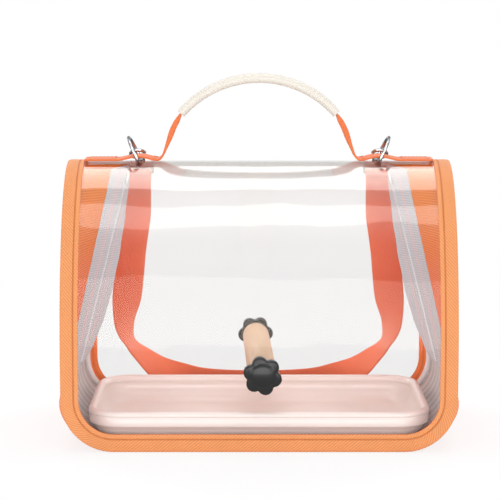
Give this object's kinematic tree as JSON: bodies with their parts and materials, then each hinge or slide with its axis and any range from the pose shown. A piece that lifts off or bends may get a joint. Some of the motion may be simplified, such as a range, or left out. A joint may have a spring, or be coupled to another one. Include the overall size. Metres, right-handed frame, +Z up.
{
  "type": "bird travel carrier",
  "caption": "See-through handbag-style travel carrier for a small bird, with zipped mesh sides, a wood perch, a lift-out tray, a handle and a clip-on shoulder strap.",
  "frame": {"origin": "middle of the flat underside, on the surface the carrier stands on", "axes": "+X to the right along the carrier's width, +Y from the front face to the back, +Z up"},
  "size_m": [0.3, 0.2093, 0.2826],
  "materials": {
    "clear_pvc": "clear soft sheet, glossy",
    "binding_tape": "light orange twill tape, stitched",
    "base_fabric": "orange woven fabric",
    "board": "plain stiff board",
    "lining": "grey ribbed lining",
    "side_mesh": "orange fine mesh",
    "zip_tape": "light grey woven tape",
    "zip_coil": "light grey coil",
    "zip_metal": "light grey enamel",
    "handle_web": "orange webbing",
    "strap_web": "coral webbing",
    "ring_chrome": "polished",
    "grip_sleeve": "off-white smooth sleeve",
    "dowel_wood": "light wood, sanded",
    "insert_brass": "plain",
    "steel": "plain",
    "knob_plastic": "black, softly glossy",
    "tray_plastic": "pale pink, smooth"
  },
  "bodies": {
    "bag": {"clear_sheet": "clear_pvc", "front_binding": "binding_tape", "rear_binding": "binding_tape", "base_shell": "base_fabric", "base_board": "board", "base_lining": "lining", "left_mesh_front": "side_mesh", "left_mesh_rear": "side_mesh", "right_mesh_front": "side_mesh", "right_mesh_rear": "side_mesh", "left_zip_tape_front": "zip_tape", "left_zip_tape_rear": "zip_tape", "right_zip_tape_front": "zip_tape", "right_zip_tape_rear": "zip_tape", "left_zip_chain": "zip_coil", "right_zip_chain": "zip_coil", "zip_end_stops": "zip_metal", "left_crown_webbing": "handle_web", "right_crown_webbing": "handle_web", "perch_dowel": "dowel_wood", "perch_inserts": "insert_brass", "perch_washers": "steel", "left_hook_eye": "ring_chrome", "right_hook_eye": "ring_chrome"},
    "handle": {"handle_webbing": "handle_web", "handle_grip": "grip_sleeve"},
    "strap": {"shoulder_strap": "strap_web", "left_strap_side": "strap_web", "right_strap_side": "strap_web"},
    "front_knob": {"front_knob": "knob_plastic", "front_stud": "steel"},
    "rear_knob": {"rear_knob": "knob_plastic", "rear_stud": "steel"},
    "tray": {"tray": "tray_plastic"},
    "left_ring": {"left_d_ring": "ring_chrome"},
    "left_hook": {"left_hook_body": "ring_chrome", "left_gate_pin": "steel"},
    "left_gate": {"left_hook_gate": "ring_chrome"},
    "left_slider": {"left_zip_slider": "zip_metal"},
    "left_pull": {"left_zip_pull": "zip_metal"},
    "right_ring": {"right_d_ring": "ring_chrome"},
    "right_hook": {"right_hook_body": "ring_chrome", "right_gate_pin": "steel"},
    "right_gate": {"right_hook_gate": "ring_chrome"},
    "right_slider": {"right_zip_slider": "zip_metal"},
    "right_pull": {"right_zip_pull": "zip_metal"}
  },
  "joints": [
    {"name": "handle_fold", "type": "hinge", "parent": "bag", "child": "handle", "pos_m": [0, 0, 0.23], "axis": [1, 0, 0], "range_deg": [-70, 70], "stiffness_Nm_per_rad": 0.03},
    {"name": "strap_swing", "type": "hinge", "parent": "bag", "child": "strap", "pos_m": [0, 0.03948, 0.20101], "axis": [1, 0, 0], "range_deg": [0, 110]},
    {"name": "left_ring_swing", "type": "hinge", "parent": "bag", "child": "left_ring", "pos_m": [-0.0945, 0, 0.2158], "axis": [0, 1, 0], "range_deg": [-3, 14]},
    {"name": "left_hook_swivel", "type": "hinge", "parent": "bag", "child": "left_hook", "pos_m": [-0.09614, 0.01602, 0.21805], "axis": [0, 0.809, -0.5878], "range_deg": [-5, 3]},
    {"name": "left_gate_press", "type": "hinge", "parent": "left_hook", "child": "left_gate", "pos_m": [-0.09224, 0.02103, 0.21441], "axis": [0, 0.5878, 0.809], "range_deg": [-14, 0], "stiffness_Nm_per_rad": 0.02, "springref_deg": 6.88},
    {"name": "left_zip_run", "type": "slide", "parent": "bag", "child": "left_slider", "axis": [0.2479, 0, 0.9688], "range_m": [-0.126, 0]},
    {"name": "left_pull_flip", "type": "hinge", "parent": "left_slider", "child": "left_pull", "pos_m": [-0.10883, -0.005, 0.20097], "axis": [0, 1, 0], "range_deg": [0, 100]},
    {"name": "right_ring_swing", "type": "hinge", "parent": "bag", "child": "right_ring", "pos_m": [0.0945, 0, 0.2158], "axis": [0, -1, 0], "range_deg": [-3, 14]},
    {"name": "right_hook_swivel", "type": "hinge", "parent": "bag", "child": "right_hook", "pos_m": [0.09614, 0.01602, 0.21805], "axis": [0, -0.809, 0.5878], "range_deg": [-5, 3]},
    {"name": "right_gate_press", "type": "hinge", "parent": "right_hook", "child": "right_gate", "pos_m": [0.09224, 0.02103, 0.21441], "axis": [0, -0.5878, -0.809], "range_deg": [-14, 0], "stiffness_Nm_per_rad": 0.02, "springref_deg": 6.88},
    {"name": "right_zip_run", "type": "slide", "parent": "bag", "child": "right_slider", "axis": [-0.2479, 0, 0.9688], "range_m": [-0.126, 0]},
    {"name": "right_pull_flip", "type": "hinge", "parent": "right_slider", "child": "right_pull", "pos_m": [0.10883, -0.005, 0.20097], "axis": [0, -1, 0], "range_deg": [0, 100]},
    {"name": "front_knob_turn", "type": "hinge", "parent": "bag", "child": "front_knob", "pos_m": [0.00236, -0.08357, 0.06058], "axis": [0.0259, -0.9996, 0.0118], "continuous": true},
    {"name": "rear_knob_turn", "type": "hinge", "parent": "bag", "child": "rear_knob", "pos_m": [-0.00196, 0.08357, 0.05862], "axis": [-0.0259, 0.9996, -0.0118], "continuous": true},
    {"name": "tray_lift", "type": "slide", "parent": "bag", "child": "tray", "axis": [0, 0, 1], "range_m": [0, 0.016]}
  ]
}
